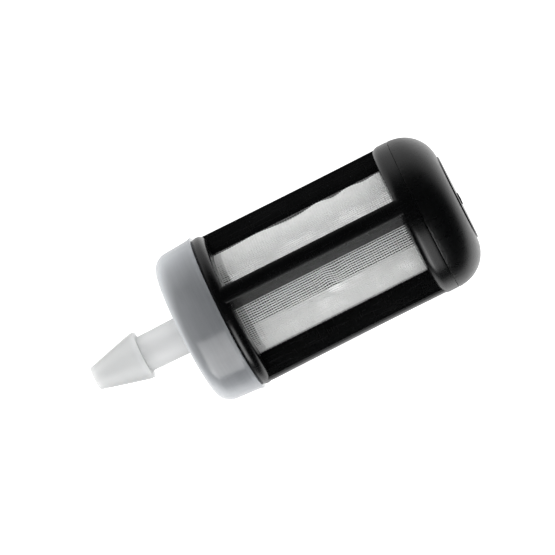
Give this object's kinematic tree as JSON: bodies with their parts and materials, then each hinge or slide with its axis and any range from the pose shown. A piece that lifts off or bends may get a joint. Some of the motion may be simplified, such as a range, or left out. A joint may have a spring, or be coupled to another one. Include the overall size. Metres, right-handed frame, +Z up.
{
  "type": "fuel filter",
  "caption": "In-tank fuel pickup filter: barbed hose nipple, grey base cap, black ribbed cage with a woven screen tube, and a domed nose that holds a ballast weight.",
  "frame": {"origin": "on the filter's axis, midway between the nipple's tip and the gate mark on the nose", "axes": "+X along the filter's axis from the hose nipple to the closed black nose; +Z up, through the middle of one cage rib; +Y through the middle of the next rib"},
  "size_m": [0.0424, 0.0174, 0.0174],
  "materials": {
    "nipple_nylon": "natural translucent nylon, semi-gloss",
    "cap_grey_plastic": "light grey moulded plastic, semi-gloss, with faint flow marks",
    "cage_black_plastic": "black moulded plastic, semi-gloss",
    "nose_black_plastic": "black moulded plastic, satin",
    "screen_nylon": "fine woven white nylon",
    "weight_steel": "zinc plated steel"
  },
  "bodies": {
    "root": {"hose_nipple": "nipple_nylon", "base_cap": "cap_grey_plastic", "cage": "cage_black_plastic", "nose_cap": "nose_black_plastic", "screen_sleeve": "screen_nylon", "ballast_weight": "weight_steel"}
  },
  "joints": []
}
